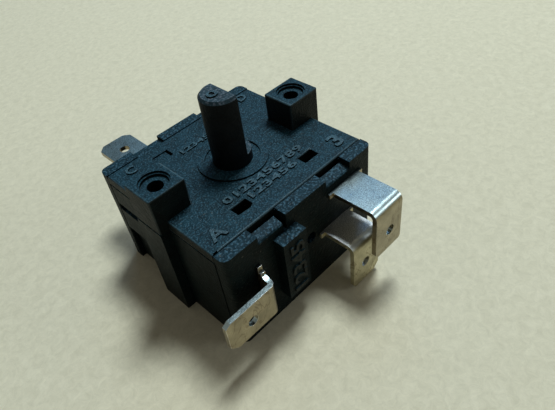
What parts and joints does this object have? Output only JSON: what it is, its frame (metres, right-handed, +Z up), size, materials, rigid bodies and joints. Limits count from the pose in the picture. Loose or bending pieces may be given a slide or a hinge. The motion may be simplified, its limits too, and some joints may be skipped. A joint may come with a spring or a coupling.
{
  "type": "rotary selector switch",
  "caption": "Rotary oven selector switch: square black moulded housing with screw posts, a D-shaped operating shaft and push-on tab terminals, with working cam and sprung contacts inside.",
  "frame": {"origin": "on the spindle axis, in the plane of the flat underside of the housing", "axes": "+Z up along the spindle, +X to the right along the front terminal face, -Y towards the front terminals"},
  "size_m": [0.0368, 0.0486, 0.0316],
  "materials": {
    "housing_plastic": "fine spark-eroded matte black moulding with worn edges",
    "spindle_plastic": "matte black moulding, rubbed on the shaft end",
    "tab_metal": "tin-plated steel strip, half bright, lightly scratched",
    "spring_bronze": "bare bronze spring strip",
    "contact_silver": "silver contact rivet",
    "spring_steel": "plain spring steel"
  },
  "bodies": {
    "housing": {"base": "housing_plastic", "cover": "housing_plastic", "terminal_a": "tab_metal", "terminal_b": "tab_metal", "terminal_c": "tab_metal", "terminal_d": "tab_metal", "terminal_common": "tab_metal", "fixed_contact_a": "contact_silver", "fixed_contact_b": "contact_silver", "fixed_contact_c": "contact_silver", "fixed_contact_d": "contact_silver", "spring_rivets": "spring_steel", "index_spring_front": "spring_steel", "index_spring_back": "spring_steel"},
    "spindle": {"spindle": "spindle_plastic"},
    "leaf_a": {"contact_spring_a": "spring_bronze", "moving_contact_a": "contact_silver"},
    "leaf_b": {"contact_spring_b": "spring_bronze", "moving_contact_b": "contact_silver"},
    "leaf_c": {"contact_spring_c": "spring_bronze", "moving_contact_c": "contact_silver"},
    "leaf_d": {"contact_spring_d": "spring_bronze", "moving_contact_d": "contact_silver"}
  },
  "joints": [
    {"name": "spindle_turn", "type": "hinge", "parent": "housing", "child": "spindle", "pos_m": [0, 0, 0.01], "axis": [0, 0, 1], "continuous": true, "deforming": ["index_spring_front", "index_spring_back", "contact_spring_a", "contact_spring_b", "contact_spring_c", "contact_spring_d"]},
    {"name": "leaf_a_flex", "type": "hinge", "parent": "housing", "child": "leaf_a", "pos_m": [0.00847, -0.0107, 0.0134], "axis": [0, 0, -1], "range_deg": [0, 4.5], "stiffness_Nm_per_rad": 0.04, "deforming": ["contact_spring_a"]},
    {"name": "leaf_b_flex", "type": "hinge", "parent": "housing", "child": "leaf_b", "pos_m": [-0.00847, -0.0107, 0.0113], "axis": [0, 0, 1], "range_deg": [0, 4.5], "stiffness_Nm_per_rad": 0.04, "deforming": ["contact_spring_b"]},
    {"name": "leaf_c_flex", "type": "hinge", "parent": "housing", "child": "leaf_c", "pos_m": [-0.00847, 0.0107, 0.0134], "axis": [0, 0, -1], "range_deg": [0, 4.5], "stiffness_Nm_per_rad": 0.04, "deforming": ["contact_spring_c"]},
    {"name": "leaf_d_flex", "type": "hinge", "parent": "housing", "child": "leaf_d", "pos_m": [0.00847, 0.0107, 0.0113], "axis": [0, 0, 1], "range_deg": [0, 4.5], "stiffness_Nm_per_rad": 0.04, "deforming": ["contact_spring_d"]}
  ]
}
